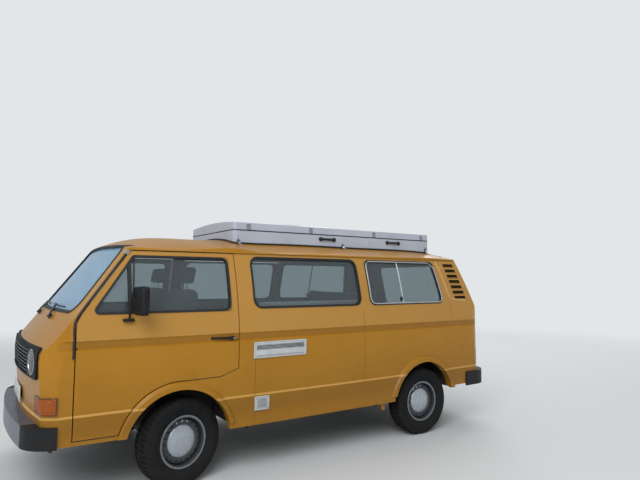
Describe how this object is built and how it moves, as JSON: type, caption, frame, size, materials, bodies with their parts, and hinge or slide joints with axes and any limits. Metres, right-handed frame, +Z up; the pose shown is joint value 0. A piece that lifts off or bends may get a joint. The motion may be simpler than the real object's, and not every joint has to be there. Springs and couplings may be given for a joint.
{
  "type": "camper van",
  "caption": "Boxy rear-engined camper van with opening cab doors, tailgate, hinged hard roof box lid, steered front wheels and a simple living space inside.",
  "frame": {"origin": "on the ground under the middle of the bounding box", "axes": "+X forward along the van's length, +Y to its left side, +Z up"},
  "size_m": [4.57, 2.17, 2.036],
  "materials": {
    "body_paint": "glossy mustard enamel",
    "dark_steel": "black underbody paint",
    "rubber_seal": "matt black",
    "window_glass": "clear",
    "black_plastic": "matt",
    "bumper_metal": "satin grey",
    "lamp_glass": "clear ribbed",
    "amber_plastic": "translucent amber",
    "wheel_steel": "silver paint",
    "tyre_rubber": "matt",
    "cast_metal": "rough",
    "bare_steel": "dull",
    "seat_cloth": "woven grey",
    "cabinet_wood": "laminate",
    "trim_plastic": "grained",
    "white_shell": "white laminate",
    "white_vent": "white"
  },
  "bodies": {
    "shell": {"nose_panel": "body_paint", "side_left": "body_paint", "side_right": "body_paint", "sliding_door": "body_paint", "roof_panel": "body_paint", "rear_frame": "body_paint", "wheel_boxes": "dark_steel", "floor_pan": "dark_steel", "chassis_frame": "dark_steel", "window_seals": "rubber_seal", "side_glass": "window_glass", "windscreen": "window_glass", "bumpers": "bumper_metal", "bumper_caps": "black_plastic", "grille": "black_plastic", "headlamps": "lamp_glass", "signal_lamps": "amber_plastic", "wipers": "black_plastic", "suspension": "dark_steel", "engine_block": "cast_metal", "fuel_tank": "dark_steel", "exhaust_system": "bare_steel", "spare_wheel_tray": "dark_steel", "dashboard": "trim_plastic", "steering_wheel": "trim_plastic", "seats": "seat_cloth", "kitchen_cabinet": "cabinet_wood", "side_vents": "white_vent", "roof_tray": "white_shell", "tray_seals": "rubber_seal", "roof_clamps": "bare_steel"},
    "roof_lid": {"roof_lid": "white_shell", "lid_latches": "bare_steel"},
    "tailgate": {"tailgate": "body_paint", "tailgate_seal": "rubber_seal", "tailgate_glass": "window_glass"},
    "door_left": {"door_left": "body_paint", "door_left_seal": "rubber_seal", "door_left_glass": "window_glass", "door_left_fittings": "black_plastic"},
    "knuckle_left": {"knuckle_left": "cast_metal"},
    "wheel_front_left": {"tyre_front_left": "tyre_rubber", "rim_front_left": "wheel_steel"},
    "wheel_rear_left": {"tyre_rear_left": "tyre_rubber", "rim_rear_left": "wheel_steel"},
    "door_right": {"door_right": "body_paint", "door_right_seal": "rubber_seal", "door_right_glass": "window_glass", "door_right_fittings": "black_plastic"},
    "knuckle_right": {"knuckle_right": "cast_metal"},
    "wheel_front_right": {"tyre_front_right": "tyre_rubber", "rim_front_right": "wheel_steel"},
    "wheel_rear_right": {"tyre_rear_right": "tyre_rubber", "rim_rear_right": "wheel_steel"}
  },
  "joints": [
    {"name": "door_left_hinge", "type": "hinge", "parent": "shell", "child": "door_left", "pos_m": [1.9475, 0.896, 0.7], "axis": [0, 0, -1], "range_deg": [0, 65]},
    {"name": "door_right_hinge", "type": "hinge", "parent": "shell", "child": "door_right", "pos_m": [1.9475, -0.896, 0.7], "axis": [0, 0, 1], "range_deg": [0, 65]},
    {"name": "tailgate_hinge", "type": "hinge", "parent": "shell", "child": "tailgate", "pos_m": [-1.902, 0, 1.7755], "axis": [0, 1, 0], "range_deg": [0, 80]},
    {"name": "roof_lid_hinge", "type": "hinge", "parent": "shell", "child": "roof_lid", "pos_m": [-0.52, -0.514, 1.95], "axis": [1, 0, 0], "range_deg": [0, 60]},
    {"name": "steer_left", "type": "hinge", "parent": "shell", "child": "knuckle_left", "pos_m": [1.225, 0.69, 0.318], "axis": [0, 0, 1], "range_deg": [-48, 22]},
    {"name": "steer_right", "type": "hinge", "parent": "shell", "child": "knuckle_right", "pos_m": [1.225, -0.69, 0.318], "axis": [0, 0, 1], "range_deg": [-48, 22]},
    {"name": "spin_front_left", "type": "hinge", "parent": "knuckle_left", "child": "wheel_front_left", "pos_m": [1.20194, 0.78987, 0.318], "axis": [-0.225, 0.9744, 0], "continuous": true},
    {"name": "spin_rear_left", "type": "hinge", "parent": "shell", "child": "wheel_rear_left", "pos_m": [-1.235, 0.785, 0.318], "axis": [0, 1, 0], "continuous": true},
    {"name": "spin_front_right", "type": "hinge", "parent": "knuckle_right", "child": "wheel_front_right", "pos_m": [1.24806, -0.78987, 0.318], "axis": [-0.225, 0.9744, 0], "continuous": true},
    {"name": "spin_rear_right", "type": "hinge", "parent": "shell", "child": "wheel_rear_right", "pos_m": [-1.235, -0.785, 0.318], "axis": [0, 1, 0], "continuous": true}
  ],
  "couplings": [
    {"joint": "steer_right", "follows": "steer_left", "ratio": 1}
  ]
}
